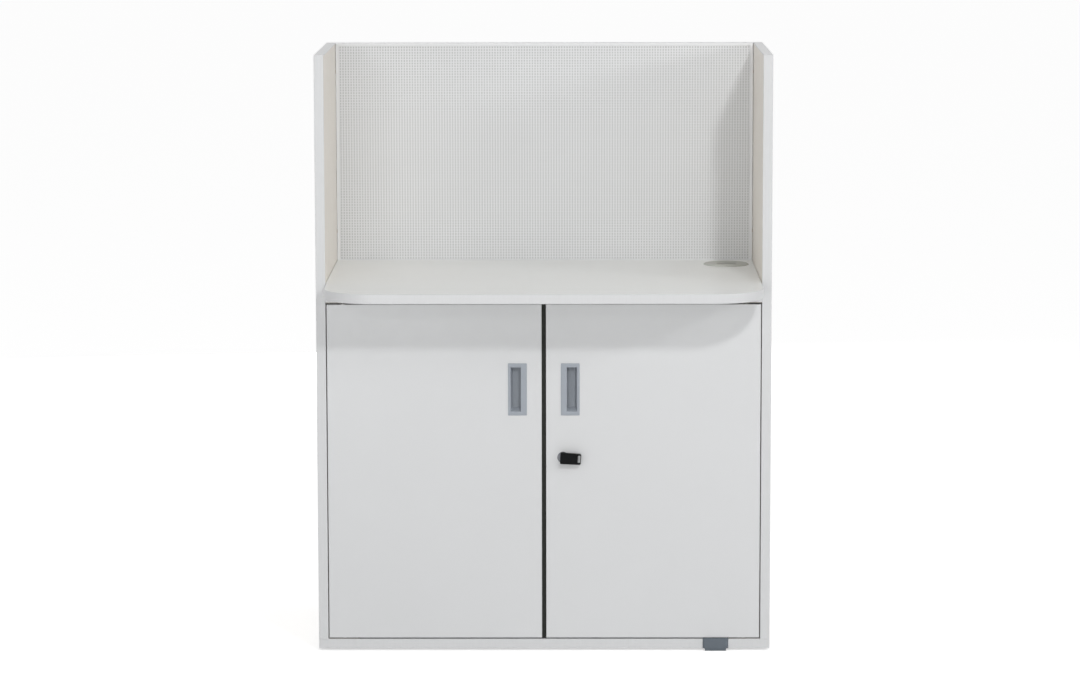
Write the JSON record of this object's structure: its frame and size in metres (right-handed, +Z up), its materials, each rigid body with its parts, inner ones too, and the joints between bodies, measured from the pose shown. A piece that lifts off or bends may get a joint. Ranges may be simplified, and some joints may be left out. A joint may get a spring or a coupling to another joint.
{
  "type": "office credenza",
  "caption": "Desk-height office credenza with a perforated rear screen between high side panels, a rounded overhanging worktop with cable grommet, and lockable hinged doors over a shelf.",
  "frame": {"origin": "on the floor, under the middle of the overall width and depth", "axes": "+X to the user's right as they face the doors, -Y towards the user, +Z up"},
  "size_m": [0.9, 0.6, 1.19],
  "materials": {
    "board_ivory": "satin melamine",
    "board_white": "satin melamine",
    "edging_white": "satin ABS edging",
    "screen_white": "fine powder coat",
    "screen_filling": "pressed felt",
    "dowel_wood": "beech",
    "zinc_steel": "zinc plated",
    "lock_metal": "satin nickel",
    "pull_grey": "satin silver-grey",
    "nylon_white": "moulded",
    "seal_black": "matt",
    "key_black": "moulded",
    "grommet_grey": "moulded",
    "foot_grey": "moulded",
    "sole_rubber": "matt"
  },
  "bodies": {
    "carcass": {"side_panel_left": "board_ivory", "side_panel_right": "board_ivory", "base_panel": "board_white", "sub_top": "board_white", "worktop": "board_white", "shelf": "board_white", "back_panel": "board_white", "base_edge_band": "edging_white", "side_edge_band_left": "edging_white", "side_edge_band_right": "edging_white", "sub_top_edge_band": "edging_white", "worktop_edge_band": "edging_white", "shelf_edge_band": "edging_white", "screen_frame": "screen_white", "screen_sheet": "screen_white", "screen_rear_cover": "screen_white", "screen_core": "screen_filling", "sub_top_dowels": "dowel_wood", "screen_dowels": "dowel_wood", "base_screws": "zinc_steel", "worktop_screws": "zinc_steel", "pivot_screws": "zinc_steel", "connector_bolts": "zinc_steel", "connector_housings": "zinc_steel", "lower_pivot_left": "zinc_steel", "lower_pivot_right": "zinc_steel", "upper_pivot_left": "zinc_steel", "upper_pivot_right": "zinc_steel", "shelf_pins": "zinc_steel", "magnetic_catch_left": "nylon_white", "magnetic_catch_right": "nylon_white", "grommet_ring": "grommet_grey", "foot_clip": "foot_grey", "glide_pads": "foot_grey", "foot_sole": "sole_rubber"},
    "left_door": {"door_left_panel": "board_white", "door_left_edge_band": "edging_white", "door_left_bushes": "nylon_white", "pull_left": "pull_grey", "meeting_seal": "seal_black", "strike_plate_left": "zinc_steel", "cam_keeper": "zinc_steel", "bolt_housing": "zinc_steel"},
    "right_door": {"door_right_panel": "board_white", "door_right_edge_band": "edging_white", "door_right_bushes": "nylon_white", "pull_right": "pull_grey", "strike_plate_right": "zinc_steel", "lock_body": "lock_metal", "lock_nut": "lock_metal"},
    "door_bolt": {"bolt_rod": "zinc_steel"},
    "lock_core": {"lock_plug": "lock_metal", "lock_cam": "lock_metal", "cam_screw": "lock_metal"},
    "key": {"key_blade": "lock_metal"},
    "key_head": {"key_head": "key_black", "key_pin": "zinc_steel"},
    "cable_cap": {"grommet_cap": "grommet_grey"}
  },
  "joints": [
    {"name": "left_door_hinge", "type": "hinge", "parent": "carcass", "child": "left_door", "pos_m": [-0.39767, -0.1105, 0.362], "axis": [0, 0, -1], "range_deg": [0, 100]},
    {"name": "right_door_hinge", "type": "hinge", "parent": "carcass", "child": "right_door", "pos_m": [0.39767, -0.1105, 0.362], "axis": [0, 0, 1], "range_deg": [0, 100]},
    {"name": "bolt_slide", "type": "slide", "parent": "left_door", "child": "door_bolt", "axis": [0, 0, 1], "range_m": [0, 0.012]},
    {"name": "lock_turn", "type": "hinge", "parent": "right_door", "child": "lock_core", "pos_m": [0.0378, -0.12, 0.3916], "axis": [0, 1, 0], "range_deg": [-3.4, 86.6]},
    {"name": "key_draw", "type": "slide", "parent": "lock_core", "child": "key", "axis": [0, -1, 0], "range_m": [0, 0.02]},
    {"name": "key_fold", "type": "hinge", "parent": "key", "child": "key_head", "pos_m": [0.0378, -0.132, 0.3916], "axis": [-0.0593, 0, -0.9982], "range_deg": [0, 90]},
    {"name": "cap_lift", "type": "slide", "parent": "carcass", "child": "cable_cap", "axis": [0, 0, 1], "range_m": [0, 0.03]}
  ]
}
